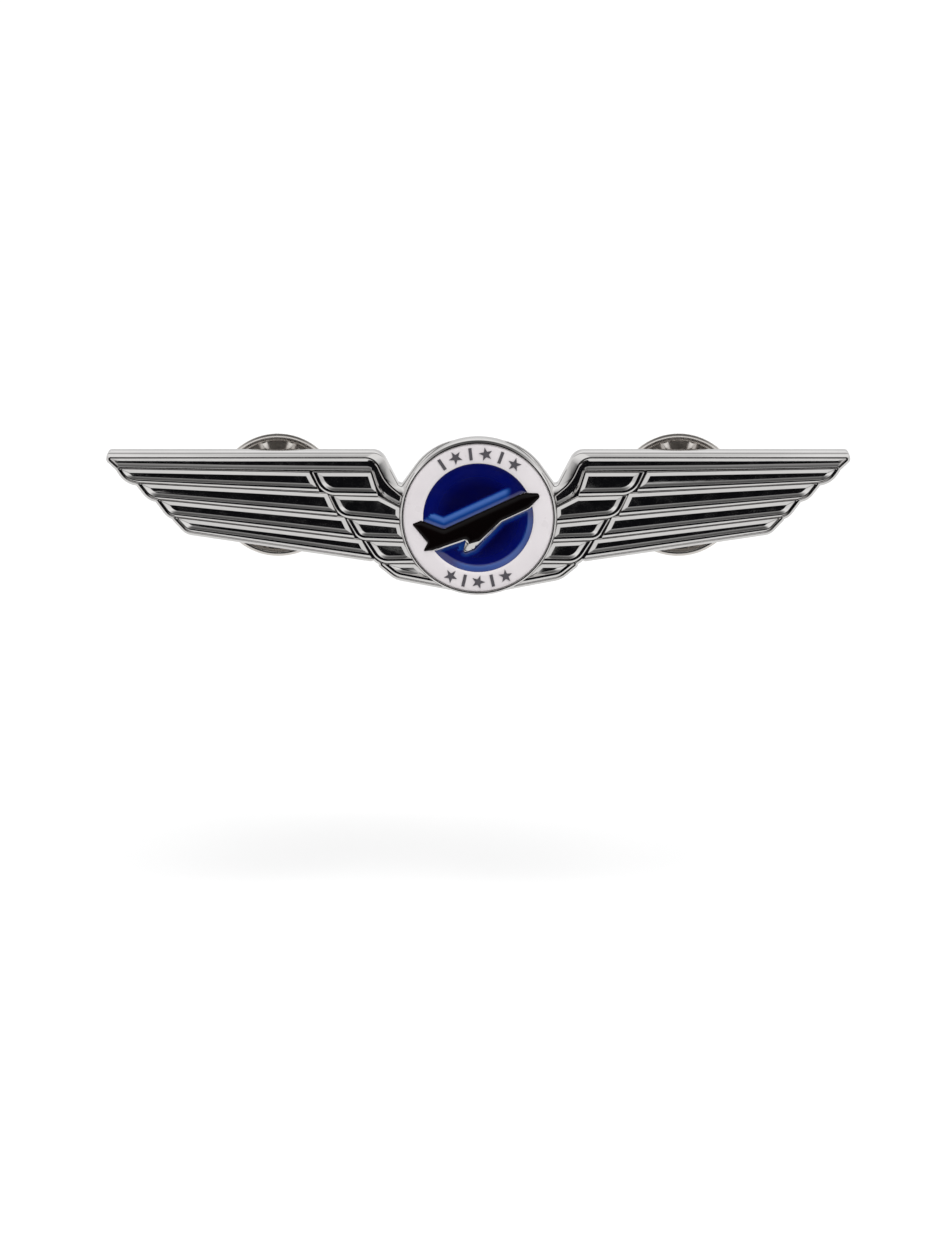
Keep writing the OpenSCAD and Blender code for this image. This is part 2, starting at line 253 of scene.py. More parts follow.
def turned(corners, angle):
    """The corners turned anticlockwise about the medallion's centre."""
    c, s = math.cos(angle), math.sin(angle)
    return [(x * c - z * s, x * s + z * c, r) for x, z, r in corners]


def circle(radius, steps=ROUND_STEPS):
    """Points round a circle about the origin."""
    angles = [2 * math.pi * k / steps for k in range(steps)]
    return [Vector((radius * math.cos(a), radius * math.sin(a))) for a in angles]


def arc(centre, radius, start, end, steps):
    """Points in a plane along an arc, with its angles in degrees."""
    angles = [math.radians(start + (end - start) * k / steps) for k in range(steps + 1)]
    return [(centre[0] + radius * math.cos(a), centre[1] + radius * math.sin(a)) for a in angles]


def shrunk(points, amount):
    """A closed line of points moved inwards by amount, with mitred corners."""
    moved = []
    for i, here in enumerate(points):
        a = left_of((here - points[i - 1]).normalized())
        b = left_of((points[(i + 1) % len(points)] - here).normalized())
        moved.append(here + (a + b) * amount / (1 + a.dot(b)))
    return moved


def triangles_inside(outlines, extra=(), holes=()):
    """Points and triangles that cover the outlines and leave out the holes."""
    points, faces = [], []
    for outline in (*outlines, *holes):
        faces.append(list(range(len(points), len(points) + len(outline))))
        points += outline
    points += extra
    found, _, triangles, _, _, owners = delaunay_2d_cdt(points, [], faces, 1, 1e-5)
    first_hole = len(outlines)
    kept = [
        tuple(t) for t, owner in zip(triangles, owners)
        if owner and max(owner) < first_hole
    ]
    return found, kept


def boundaries(triangles):
    """The closed loops of vertex numbers round a set of triangles, the longest first."""
    edges = {(t[i], t[(i + 1) % 3]) for t in triangles for i in range(3)}
    following = {a: b for a, b in sorted(edges) if (b, a) not in edges}
    loops = []
    while following:
        loop = [next(iter(following))]
        while loop[-1] in following:
            step = following.pop(loop[-1])
            if step == loop[0]:
                break
            loop.append(step)
        loops.append(loop)
    return sorted(loops, key=len, reverse=True)


def joined(outlines):
    """The outer line round several overlapping outlines."""
    found, triangles = triangles_inside(outlines)
    line = [found[i] for i in boundaries(triangles)[0]]
    return [p for i, p in enumerate(line) if (p - line[i - 1]).length > CLOSEST]


def grid_over(low, high, step):
    """Evenly spaced points over a rectangle."""
    columns = np.arange(low[0], high[0], step)
    rows = np.arange(low[1], high[1], step)
    return [Vector((x, z)) for x in columns for z in rows]


def away_from_edge(points, loops):
    """How far each point is from the nearest loop, and the direction away from it."""
    starts = np.array([p for loop in loops for p in loop])
    ends = np.array([p for loop in loops for p in loop[1:] + loop[:1]])
    along = ends - starts
    apart = np.array(points)[:, None] - starts[None]
    share = np.clip((apart * along).sum(2) / (along ** 2).sum(1), 0, 1)
    apart = apart - share[..., None] * along
    lengths = np.linalg.norm(apart, axis=2)
    nearest = lengths.argmin(1)
    rows = np.arange(len(points))
    distance = lengths[rows, nearest]
    return distance, apart[rows, nearest] / np.maximum(distance, 1e-6)[:, None]


def across_fuselage(p):
    """How far a point is above the line of the fuselage."""
    return p[1] * math.cos(CLIMB) - p[0] * math.sin(CLIMB)


def along_fuselage(p):
    """How far a point is towards the nose from the medallion's centre."""
    return p[0] * math.cos(CLIMB) + p[1] * math.sin(CLIMB)


def eased(value):
    """A smooth step from 0 to 1 as the value goes from 0 to 1."""
    share = np.clip(value, 0, 1)
    return share * share * (3 - 2 * share)


# ---- Meshes ----
class Shell:
    """The vertices, faces and material numbers of one mesh, in millimetres."""

    def __init__(self):
        self.points, self.faces, self.materials = [], [], []

    def add(self, points, faces, material=0):
        start = len(self.points)
        self.points += [tuple(p) for p in points]
        self.faces += [tuple(start + i for i in face) for face in faces]
        self.materials += [material] * len(faces)

    def loft(self, loops, material=0, front=None, back=True):
        """Joins closed loops of equal length, from the back round to the front.

        The first loop is closed where back is true, and the last where front names a material.
        """
        size = len(loops[0])
        faces = [
            (k * size + i, k * size + (i + 1) % size, (k + 1) * size + (i + 1) % size,
             (k + 1) * size + i)
            for k in range(len(loops) - 1) for i in range(size)
        ]
        self.add([p for loop in loops for p in loop], faces, material)
        if back:
            self.add(loops[0], [tuple(reversed(range(size)))], material)
        if front is not None:
            self.add(loops[-1], [tuple(range(size))], front)

    def cushion(self, points, triangles, front, back):
        """A closed solid over triangles, from a depth for each point of its front to one flat back."""
        size = len(points)
        self.add(
            [(p[0], y, p[1]) for p, y in zip(points, front)] + at_depth(points, back),
            [*triangles, *(tuple(size + i for i in reversed(t)) for t in triangles)]
            + [
                (a, size + a, size + b, b)
                for loop in boundaries(triangles) for a, b in zip(loop, loop[1:] + loop[:1])
            ],
        )

    def thicken(self, points, faces, thickness):
        """A closed solid that follows a surface, with half its thickness on each side."""
        place = np.array(points)
        normals = np.zeros_like(place)
        for face in faces:
            corners = place[list(face)]
            normal = np.cross(corners[1] - corners[0], corners[-1] - corners[0])
            normals[list(face)] += normal / np.linalg.norm(normal)
        used = sorted({i for face in faces for i in face})
        normals[used] /= np.linalg.norm(normals[used], axis=1)[:, None]
        number = {old: new for new, old in enumerate(used)}
        near = place[used] + normals[used] * thickness / 2
        far = place[used] - normals[used] * thickness / 2
        size = len(used)
        top = [tuple(number[i] for i in face) for face in faces]
        edges = {(f[i], f[(i + 1) % len(f)]) for f in top for i in range(len(f))}
        self.add(
            [*near, *far],
            [*top, *(tuple(size + i for i in reversed(face)) for face in top)]
            + [(a, size + a, size + b, b) for a, b in sorted(edges) if (b, a) not in edges],
        )

    def mirrored(self):
        """Adds the same shape on the other side of the plane X = 0."""
        self.add(
            [(-x, y, z) for x, y, z in self.points],
            [tuple(reversed(face)) for face in self.faces],
        )
        half = len(self.materials) // 2
        self.materials[half:] = self.materials[:half]

    def piece(self, name, materials, body, replaces, slot, at=(0, 0), sharp=50, bevel=0):
        """Makes the mesh object, which rides on a body and stands for CAD nodes."""
        mesh = bpy.data.meshes.new(name)
        dx, dz = at
        mesh.from_pydata([((x + dx) * MM, y * MM, (z + dz) * MM) for x, y, z in self.points],
                         [], self.faces)
        for material in materials:
            mesh.materials.append(material)
        mesh.polygons.foreach_set("material_index", self.materials)
        mesh.polygons.foreach_set("use_smooth", [True] * len(self.faces))
        weld(mesh)
        mesh.set_sharp_from_angle(angle=math.radians(sharp))
        piece = bpy.data.objects.new(name, mesh)
        bpy.context.scene.collection.objects.link(piece)
        if bevel:
            soften = piece.modifiers.new("soft_edges", "BEVEL")
            soften.width = bevel * MM
            soften.segments = 3
            soften.limit_method = "ANGLE"
            soften.angle_limit = math.radians(40)
            soften.harden_normals = True
        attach(piece, body)
        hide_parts(*replaces)
        return piece


def weld(mesh):
    """Merges the vertices that the parts of a mesh share, and turns its faces outwards."""
    edit = bmesh.new()
    edit.from_mesh(mesh)
    bmesh.ops.remove_doubles(edit, verts=edit.verts, dist=0.002 * MM)
    bmesh.ops.dissolve_degenerate(edit, edges=edit.edges, dist=0.0005 * MM)
    bmesh.ops.recalc_face_normals(edit, faces=edit.faces)
    edit.to_mesh(mesh)
    edit.free()


def at_depth(outline, y):
    """An outline placed in space at one depth."""
    return [(x, y, z) for x, z in outline]


def lathe(profile, steps=ROUND_STEPS):
    """Loops of a shape turned about a line along Y, from its (radius, y) profile."""
    return [at_depth(circle(radius, steps), y) for radius, y in profile]


# ---- Badge casting ----
def narrowing(x):
    """The rims are narrower towards the wing tip."""
    return 0.55 + 0.45 * min(1, max(0, (30 - x) / 12))


def groove(outward, x):
    """The inner edge of the groove, which is equally wide all the way round a feather."""
    return GROOVE_HALF


def between(a, b, share):
    """A distance that lies a share of the way from a to b."""
    return lambda outward, x: a(outward, x) * (1 - share) + b(outward, x) * share


def feather_edges(bevel, flat, tip_flat, upper_wall, lower_wall, end_wall):
    """How far in from a feather's outline each of its edges lies, by direction.

    They are its crest, its rim, the shoulder where the wall gets less steep, and its floor.
    """
    def crest(outward, x):
        down = max(0, -outward.y) ** 2
        tip = max(0, outward.x) ** 2
        return GROOVE_HALF + 0.04 + bevel * down * narrowing(x) + 0.06 * tip

    def rim(outward, x):
        down = max(0, -outward.y) ** 2
        tip = max(0, outward.x) ** 2
        return crest(outward, x) + flat * down * narrowing(x) + tip_flat * tip

    def floor(outward, x):
        steep = float(eased((abs(outward.y) - LONG_WALL) / 0.2))
        wall = upper_wall if outward.y > 0 else lower_wall
        return rim(outward, x) + end_wall * (1 - steep) + wall * steep

    def shoulder(outward, x):
        share = 0.25 if outward.y < -LONG_WALL else 0.36
        return between(rim, floor, share)(outward, x)

    return crest, rim, shoulder, floor


def feather(shell, corners, bevel=0.2, flat=0.2, tip_flat=0.0, upper_wall=0.36, lower_wall=0.27,
            end_wall=0.42, foot=0.008):
    """A feather: a groove round it, a rounded crest, a flat rim, and walls down to a sunk floor.

    The widths are of the crest's and the rim's lower side, the rim's tip and the three kinds of
    wall. The walls end in a narrow foot of the given height.
    """
    crest, rim, shoulder, floor = feather_edges(
        bevel, flat, tip_flat, upper_wall, lower_wall, end_wall
    )
    steps = [
        (groove, GROOVE_FLOOR + 0.05),
        (groove, WING_FRONT + 0.12),
        (between(groove, crest, 0.15), WING_FRONT + 0.085),
        (between(groove, crest, 0.9), WING_FRONT + 0.012),
        (crest, WING_FRONT),
        (rim, WING_FRONT),
        (between(rim, floor, 0.06), WING_FRONT + 0.008),
        (shoulder, WING_FRONT + 0.07),
        (between(rim, floor, 0.94), FEATHER_FLOOR - foot),
        (floor, FEATHER_FLOOR),
    ]
    loops = [at_depth(rounded(offset(corners, distance)), y) for distance, y in steps]
    shell.loft(loops, front=1)


def wing_edge():
    """The outline of one whole wing: its feathers grown by the border, and the wider border."""
    return joined([
        *(rounded(inset(corners, -BORDER)) for corners in FEATHERS), rounded(WIDE_BORDER),
    ])


def back_plate(shell):
    """The plain back of the whole casting, with a round seat for each post."""
    wing = wing_edge()
    other_wing = [Vector((-p.x, p.y)) for p in reversed(wing)]
    edge = joined([wing, other_wing, circle(MEDALLION_R)])
    seats = [
        [p + Vector((side * POST_X, POST_Z)) for p in circle(FLANGE_R + 0.05, 64)]
        for side in SIDES.values()
    ]
    back = shrunk(edge, BACK_CHAMFER)
    shell.loft([
        at_depth(back, 0), at_depth(edge, -BACK_CHAMFER), at_depth(edge, -PLATE_T),
    ], front=0, back=False)
    found, triangles = triangles_inside([back], holes=seats)
    shell.add(at_depth(found, 0), [tuple(reversed(t)) for t in triangles], 2)
    for seat in seats:
        shell.loft([at_depth(seat, 0), at_depth(seat, POST_LOW.y)], 2, front=2, back=False)


def wing_base(shell):
    """The side wall, the sloped border and the sunk ground that the feathers stand on."""
    outer = wing_edge()
    inner = joined([rounded(inset(corners, -GROOVE_HALF - 0.03)) for corners in FEATHERS])
    # The softened edge, as (how far in, how far back)
    turn = [(0, 0.14), (0.02, 0.07), (0.06, 0.02), (0.1, 0)]
    edge = shrunk(outer, turn[-1][0])

    def border_depth(points):
        """The border slopes back from the feathers, and stays in front of the back plate."""
        distances, _ = away_from_edge(points, [inner])
        return np.minimum(WING_FRONT + BORDER_SLOPE * distances, -PLATE_T - 2 * turn[0][1])

    depths = border_depth(edge)
    loops = [at_depth(outer, -PLATE_T)]
    for distance, lower in turn:
        line = shrunk(outer, distance)
        loops.append([(p[0], y + lower, p[1]) for p, y in zip(line, depths)])
    shell.loft(loops)
    found, triangles = triangles_inside([edge], holes=[inner])
    shell.add([(p[0], y, p[1]) for p, y in zip(found, border_depth(found))], triangles)
    shell.loft([at_depth(inner, WING_FRONT), at_depth(inner, GROOVE_FLOOR)], front=0, back=False)


def medallion(shell):
    """The round wall, its softened bezel, and the two steps that hold the enamels."""
    front = MEDALLION_FRONT
    bezel_in = RING_R + RING_GAP
    profile = [
        (MEDALLION_R, -PLATE_T), (MEDALLION_R, front + 0.25),
        (MEDALLION_R - 0.02, front + 0.17), (MEDALLION_R - 0.06, front + 0.11),
        (bezel_in + 0.13, front), (bezel_in + 0.02, front), (bezel_in, front + 0.03),
        (bezel_in, RING_HIGH.y), (FIELD_R, RING_HIGH.y), (FIELD_R, BLUE_HIGH.y),
    ]
    shell.loft(lathe(profile), front=0)


def island(shell):
    """The raised metal under the aircraft, which shows along its lower edges and at its wing tip."""
    outline = aircraft_outline(WING_TIP, AIRCRAFT_EDGE)
    rings = [p for grown in (0.13, 0.08, 0.0, -0.05) for p in aircraft_outline(WING_TIP, grown)]
    near_wing_low, near_wing_high = (-1.6, -3.4), (0.6, -1.8)
    grid = grid_over(near_wing_low, near_wing_high, ENAMEL_GRID)
    distance, _ = away_from_edge(grid, [outline])
    rings += [p for p, d in zip(grid, distance) if d > 0.25]
    found, triangles = triangles_inside([outline], extra=rings)
    edge, _ = away_from_edge(found, [outline])
    top = RING_LOW.y + 0.02
    rounding = 0.14 * (1 - np.sin(np.clip(edge / 0.15, 0, 1) * math.pi / 2))
    across = np.array([across_fuselage(p) for p in found])
    # The near wing slopes back towards its tip
    droop = 0.36 * np.clip(-1.7 - across, 0, 1)
    shell.cushion(found, triangles, top + rounding + droop, BLUE_HIGH.y)


def badge_casting(plating, floors, back):
    """The whole casting: a wing and its mirror image, the medallion, the island and the back."""
    shell = Shell()
    wing_base(shell)
    feather(shell, LEADING_FEATHER, bevel=0.05, flat=0.03, upper_wall=0.3, lower_wall=0.34,
            end_wall=0.1, foot=0.011)
    for corners in FLIGHT_FEATHERS:
        feather(shell, corners)
    for corners in COVERT_FEATHERS:
        feather(shell, corners, tip_flat=0.3, end_wall=0.36)
    shell.mirrored()
    medallion(shell)
    island(shell)
    back_plate(shell)
    shell.piece(
        "badge_relief", [plating, floors, back], "badge", ["badge_casting"], "nickel_plating",
        sharp=22,
    )


# ---- Enamels ----
def white_ring(enamel):
    """The ring's enamel, level at its middle and rounded down to both of its edges."""
    front, back = RING_LOW.y, RING_HIGH.y
    profile = [
        (RING_R, back), (RING_R, front + 0.1), (RING_R - 0.03, front + 0.07),
        (RING_R - 0.15, front + 0.03), (RING_R - 0.4, front + 0.005), (MARK_R, front),
        (FIELD_R + 0.4, front + 0.005), (FIELD_R + 0.15, front + 0.03),
        (FIELD_R + 0.03, front + 0.07), (FIELD_R, front + 0.1), (FIELD_R, back), (RING_R, back),
    ]
    shell = Shell()
    shell.loft(lathe(profile), back=False)
    shell.piece("white_enamel_ring", [enamel], "badge", ["white_ring_enamel"], "white_enamel")


def blue_field(enamel, name, node, side):
    """Half of the translucent field, which climbs its walls and is paler where the enamel is thinner,
    with painted highlights along some of its edges.
    """
    found, triangles = triangles_inside(
        [circle(FIELD_R)],
        extra=grid_over((-FIELD_R, -FIELD_R), (FIELD_R, FIELD_R), ENAMEL_GRID),
        holes=[aircraft_outline(WING_TIP, AIRCRAFT_EDGE)],
    )
    half = [
        t for t in triangles
        if (sum(across_fuselage(found[i]) for i in t) / 3 > FIELD_SPLIT) == (side > 0)
    ]
    used = sorted({i for t in half for i in t})
    number = {old: new for new, old in enumerate(used)}
    points = [found[i] for i in used]
    half = [tuple(number[i] for i in t) for t in half]
    loops = [[points[i] for i in loop] for loop in boundaries(half)]
    edge, away = away_from_edge(points, loops)
    rim = FIELD_R - np.array([p.length for p in points])
    climb = 0.1 * np.exp(-edge / 0.25)
    if side < 0:
        climb += 0.2 * eased((0.7 - rim) / 0.7)
    shell = Shell()
    shell.cushion(points, half, BLUE_LOW.y + BLUE_DEPTH - climb, BLUE_HIGH.y)
    piece = shell.piece(name, [enamel], "badge", [node], "blue_enamel", sharp=70)
    # Pale strips along the edges: partly thinner enamel, partly a painted highlight.
    if side > 0:
        place = np.array([along_fuselage(p) for p in points])
        thin_and_highlight = thin_and_highlight_above(edge, away, place)
    else:
        thin_and_highlight = thin_and_highlight_below(edge, away)
    pale = 0.24 * eased((2.6 - rim) / 2.2)
    paint_thinness_and_highlight(piece, points, np.maximum(thin_and_highlight, pale))


def thin_and_highlight_above(edge, away, place):
    """A bright strip along the top of the fuselage and the tail, which ends before the nose: partly
    thinner enamel and partly a painted highlight.
    """
    facing = eased((away[:, 1] + 0.3) / 0.7) * eased((4.3 - place) / 1.2)
    return facing * (0.5 + 0.5 * eased((edge - 0.3) / 0.4)) * eased((1.15 - edge) / 0.35)


def thin_and_highlight_below(edge, away):
    """A strip inside the lower rim, and a fainter one under the fuselage: partly thinner enamel and
    partly a painted highlight.
    """
    facing = 0.6 * eased((0.75 - away[:, 0]) / 0.5) * eased((away[:, 1] + 0.5) / 0.7)
    rim_strip = facing * eased((0.75 - edge) / 0.3) * (0.75 + 0.25 * eased(edge / 0.5))
    under = eased((-0.3 - away[:, 1]) / 0.3)
    return np.maximum(rim_strip, 0.42 * under * eased((0.6 - edge) / 0.3))


def place_key(x, z):
    """A place to the nearest 0.005 mm, by which a point is found again in the mesh."""
    return round(x * 200), round(z * 200)


def paint_thinness_and_highlight(piece, points, thinness_and_highlight):
    """Stores how much thinner enamel and painted highlights lighten each vertex, for its material to
    colour.
    """
    values = {place_key(*p): t for p, t in zip(points, thinness_and_highlight)}
    layer = piece.data.attributes.new("thinness_and_highlight", "FLOAT", "POINT")
    layer.data.foreach_set("value", [
        values.get(place_key(v.co.x / MM, v.co.z / MM), 0) for v in piece.data.vertices
    ])


def black_aircraft(enamel):
    """The aircraft's enamel, domed from its edge to the middle of the fuselage."""
    outline = aircraft_outline(BLACK_WING_TIP, 0)
    low = (AIRCRAFT_LOW.x, AIRCRAFT_LOW.z)
    high = (AIRCRAFT_HIGH.x, AIRCRAFT_HIGH.z)
    grid = grid_over(low, high, ENAMEL_GRID)
    distance, _ = away_from_edge(grid, [outline])
    inner = [p for p, d in zip(grid, distance) if d > 0.06]
    rings = [p for amount in (0.03, 0.08) for p in shrunk(outline, amount)]
    found, triangles = triangles_inside([outline], extra=rings + inner)
    edge, _ = away_from_edge(found, [outline])
    height = AIRCRAFT_HIGH.y - AIRCRAFT_LOW.y
    crown = 0.1 + 0.9 * np.sqrt(1 - (1 - np.clip(edge / 1.1, 0, 1)) ** 2)
    shell = Shell()
    shell.cushion(found, triangles, AIRCRAFT_HIGH.y - height * crown, RING_HIGH.y)
    shell.piece(
        "black_aircraft", [enamel], "badge", ["black_aircraft_enamel"], "black_enamel", sharp=70
    )


# ---- Posts and clutches ----
def post(steel, side_name):
    """A post with a soldered flange, a groove where the clutch grips it and a needle point."""
    side = SIDES[side_name]
    tip, point_l, tip_r = POST_HIGH.y, 1.3, 0.02
    solder_r = 0.4
    solder = [
        (POST_R + solder_r * (1 - math.sin(a)), FLANGE_BACK + solder_r * (1 - math.cos(a)))
        for a in (math.radians(15 * k) for k in range(7))
    ]
    notch_depth, notch_half = 0.12, 0.35
    notch = [
        (POST_R - notch_depth * math.cos(math.radians(a)), CROSSING_Y + notch_half * a / 90)
        for a in range(-90, 91, 15)
    ]
    point = [
        (tip_r + (POST_R - tip_r) * (1 - share ** 1.6), tip - point_l * (1 - share))
        for share in (k / 10 for k in range(11))
    ]
    profile = [
        (0, tip), *reversed(point), *reversed(notch), *reversed(solder),
        (FLANGE_R - 0.08, FLANGE_BACK), (FLANGE_R - 0.02, FLANGE_BACK - 0.03),
        (FLANGE_R, FLANGE_BACK - 0.09), (FLANGE_R, POST_LOW.y), (0, POST_LOW.y),
    ]
    shell = Shell()
    shell.loft(lathe(profile, 64), back=False)
    shell.piece(f"post_pin_{side_name}", [steel], "badge", [f"post_{side_name}"], "post_steel",
                at=(side * POST_X, POST_Z), sharp=40)


def collar(plating, side_name):
    """The clutch disc's neck, a short tube with a flange and rounded lips."""
    side = SIDES[side_name]
    flange_r = COLLAR_HIGH.x - POST_X
    start, end = COLLAR_LOW.y, COLLAR_HIGH.y
    flange_end = start + 0.25
    lip = 0.08
    profile = [
        (BORE_R, end - lip), *arc((BORE_R + lip, end - lip), lip, 180, 90, 4),
        *arc((NECK_R - lip, end - lip), lip, 90, 0, 4),
        (NECK_R, flange_end + 0.1), (NECK_R + 0.1, flange_end),
        *arc((flange_r - lip, flange_end - lip), lip, 90, 0, 4),
        *arc((flange_r - lip, start + lip), lip, 0, -90, 4),
        (BORE_R + 0.12, start), (BORE_R, start + 0.12), (BORE_R, end - lip),
    ]
    shell = Shell()
    shell.loft(lathe(profile, 96), back=False)
    shell.piece(f"clutch_neck_{side_name}", [plating], f"collar_{side_name}",
                [f"clutch_collar_{side_name}"], "clutch_plating", at=(side * POST_X, POST_Z))


def nub_height(x, z):
    """How far the pressed nubs stand out at a place on the disc."""
    for i in range(NUB_COUNT):
        a = (i + 0.5) * 2 * math.pi / NUB_COUNT
        apart = math.hypot(x - NUB_CIRCLE_R * math.sin(a), z - NUB_CIRCLE_R * math.cos(a))
        if apart < NUB_R:
            return NUB_HEIGHT * math.cos(math.pi / 2 * apart / NUB_R) ** 2
    return 0


def disc(plating, side_name):
    """The clutch's dished disc, with its rolled rim, pressed nubs and two lugs."""
    side = SIDES[side_name]
    hole = NECK_R + 0.05
    # Closer together where the nubs are
    radii = [hole + 0.03, *np.linspace(1.3, 3.3, 5), *np.linspace(3.4, 4.4, 15), 4.7]
    bead = arc((RIM_MID_R, -(DISC_LOW.y + RIM_R)), RIM_R, 190, -90, 28)

    def dished(r, start, end):
        return start + (end - start) * (r - hole) / (RIM_MID_R - hole)

    # Each loop's radius, its depth and its share of the nubs' height
    front = [(r, dished(r, PLATE_FRONT, -bead[0][1]), 1.0) for r in radii]
    front += [(x, -y, 0.0) for x, y in bead]
    back = [(r, dished(r, PLATE_BACK, -bead[-1][1]), 0.8) for r in reversed(radii)]
    sides = [(hole, PLATE_BACK - 0.03, 0.0), (hole, PLATE_FRONT + 0.03, 0.0)]
    loops = [
        [(x, y - share * nub_height(x, z), z) for x, z in circle(r, 240)]
        for r, y, share in (*sides, *front, *back, sides[0])
    ]
    shell = Shell()
    shell.loft(loops, back=False)
    for edge in (-1, 1):
        lug(shell, edge)
    shell.piece(f"clutch_disc_pressing_{side_name}", [plating], f"clutch_{side_name}",
                [f"clutch_disc_{side_name}"], "clutch_plating", at=(side * POST_X, POST_Z))


def lug(shell, edge):
    """A tab of the disc, bent up and over one edge of the spring strip."""
    half, bend_r, gap = 0.9, 0.3, 0.05
    upright = BRIDGE_HALF + gap + SHEET_T / 2
    over = PLATE_BACK + BRIDGE_T + gap + SHEET_T / 2
    turn = arc((upright - bend_r, over - bend_r), bend_r, 0, 90, 5)
    path = [(upright, PLATE_BACK - SHEET_T / 2), *turn, (BRIDGE_HALF - 0.2, over)]
    taper = [0.9, *[1.0] * (len(path) - 2), 0.85]
    rows = []
    for (z, y), share in zip(path, taper):
        rows.append([(edge * u * half * share, y, edge * z) for u in (-1, -0.5, 0.5, 1)])
    add_rows(shell, rows, lambda r, c: True, SHEET_T)


def add_rows(shell, rows, solid, thickness):
    """A strip round the rows of points of its middle surface, where solid(row, column) is true."""
    width = len(rows[0])
    faces = [
        (r * width + c, r * width + c + 1, (r + 1) * width + c + 1, (r + 1) * width + c)
        for r in range(len(rows) - 1) for c in range(width - 1) if solid(r, c)
    ]
    shell.thicken([p for row in rows for p in row], faces, thickness)


def rod(shell, x, y, half, radius):
    """A round pin along Z with softened ends."""
    softened = 0.05
    ends = [(radius - softened, half), (radius, half - softened)]
    angles = np.linspace(0, 2 * math.pi, 33)[:-1]
    loops = [
        [(x + r * math.cos(a), y + r * math.sin(a), z) for a in angles]
        for r, z in (*((r, -z) for r, z in ends), *reversed(ends))
    ]
    shell.loft(loops, front=0)


def bridge(strip, side_name):
    """The flat middle of the spring strip, which ends in a hinge pin on each side."""
    side = SIDES[side_name]
    middle_y = PLATE_BACK + BRIDGE_T / 2
    end_t = 0.24
    stop = BRIDGE_HALF - 0.05
    plate = [Vector(p) for p in ((-stop, -BRIDGE_HALF), (stop, -BRIDGE_HALF),
                                 (stop, BRIDGE_HALF), (-stop, BRIDGE_HALF))]
    hole = circle(NECK_R + 0.15, 64)
    found, triangles = triangles_inside([plate], holes=[hole])
    shell = Shell()
    shell.cushion(found, triangles, [PLATE_BACK] * len(found), PLATE_BACK + BRIDGE_T)
    for end in (-1, 1):
        path = [
            (stop - 0.1, middle_y), (stop + 0.15, middle_y + 0.03), (stop + 0.35, middle_y + 0.2),
            (BEND_X, BEND_Y),
        ]
        rows = [[(end * x, y, end * z) for z in (-BRIDGE_HALF, 0, BRIDGE_HALF)] for x, y in path]
        add_rows(shell, rows, lambda r, c: True, end_t)
        rod(shell, end * BEND_X, BEND_Y, BRIDGE_HALF, PIN_R)
    shell.piece(f"clutch_spring_base_{side_name}", [strip], f"clutch_{side_name}",
                [f"clutch_bridge_{side_name}"], "spring_strip", at=(side * POST_X, POST_Z),
                sharp=40, bevel=0.03)


def arm_path():
    """The middle line of an arm: rolled round its hinge, across the post, then up the finger wing."""
    roll = arc((-BEND_X, BEND_Y), ROLL_R, 265, 105, ROLL_STEPS)
    start = Vector(roll[-1])
    waist = start + Vector((1, math.tan(ARM_SLOPE))) * (WAIST_X - start.x)
    wing = waist + Vector((1, math.tan(WING_SLOPE))) * (WING_X - WAIST_X)
    crossing = [-NECK_REACH, SLOT_START, -SLOT_START, NECK_REACH]
    straight = [start + Vector((1, math.tan(ARM_SLOPE))) * (x - start.x) for x in crossing]
    slopes = (
        (-0.2, ARM_SLOPE), (-0.07, ARM_SLOPE + 0.05), (0.07, WING_SLOPE - 0.05), (0.2, WING_SLOPE),
    )
    bend = [waist + Vector((x, x * math.tan(slope))) for x, slope in slopes]
    rise = [waist + (wing - waist) * share for share in (0.25, 0.4, 0.55, 0.7, 0.85)]
    centre = wing + Vector((math.sin(WING_SLOPE), -math.cos(WING_SLOPE))) * CURL_R
    first = 90 + math.degrees(WING_SLOPE)
    curl = arc(centre, CURL_R, first, first - math.degrees(CURL_TURN), 12)
    return [tuple(p) for p in (*roll, *straight, *bend, *rise)] + curl


def arm_half_width(x, from_end):
    """Half an arm's width, which flares towards the finger wing and ends in rounded corners."""
    flare = BRIDGE_HALF + (WING_HALF - BRIDGE_HALF) * float(eased((x - 1.6) / 2))
    corner_r = 0.9
    inside = min(1, from_end / corner_r)
    return flare - corner_r * (1 - math.sqrt(1 - (1 - inside) ** 2))


def arm(strip, side_name, kind, facing):
    """One spring arm. The outer one has a wide slot, and the inner one a neck with a narrow slot."""
    side = SIDES[side_name]
    path = arm_path()
    lengths = [0.0]
    for a, b in zip(path, path[1:]):
        lengths.append(lengths[-1] + math.dist(a, b))
    slot_half, neck_half = (1.55, None) if kind == "outer" else (POST_R + 0.12, 1.3)
    cuts = [slot_half] if neck_half is None else [slot_half, neck_half]
    rows = []
    for (x, y), length in zip(path, lengths):
        columns = [*cuts, arm_half_width(x, lengths[-1] - length)]
        places = [*(-z for z in reversed(columns)), *columns]
        rows.append([(facing * x, y, facing * z) for z in places])
    last = len(rows[0]) - 2

    def solid(r, c):
        x = (path[r][0] + path[r + 1][0]) / 2
        rolled = r < ROLL_STEPS
        in_slot = not rolled and SLOT_START < x < NECK_REACH and c == last // 2
        beside_neck = neck_half is not None and not rolled and abs(x) < NECK_REACH and c in (0, last)
        return not in_slot and not beside_neck

    shell = Shell()
    add_rows(shell, rows, solid, STRIP_T)
    shell.piece(f"clutch_finger_{kind}_{side_name}", [strip], f"{kind}_arm_{side_name}",
                [f"clutch_arm_{kind}_{side_name}"], "spring_strip", at=(side * POST_X, POST_Z),
                sharp=40, bevel=0.03)


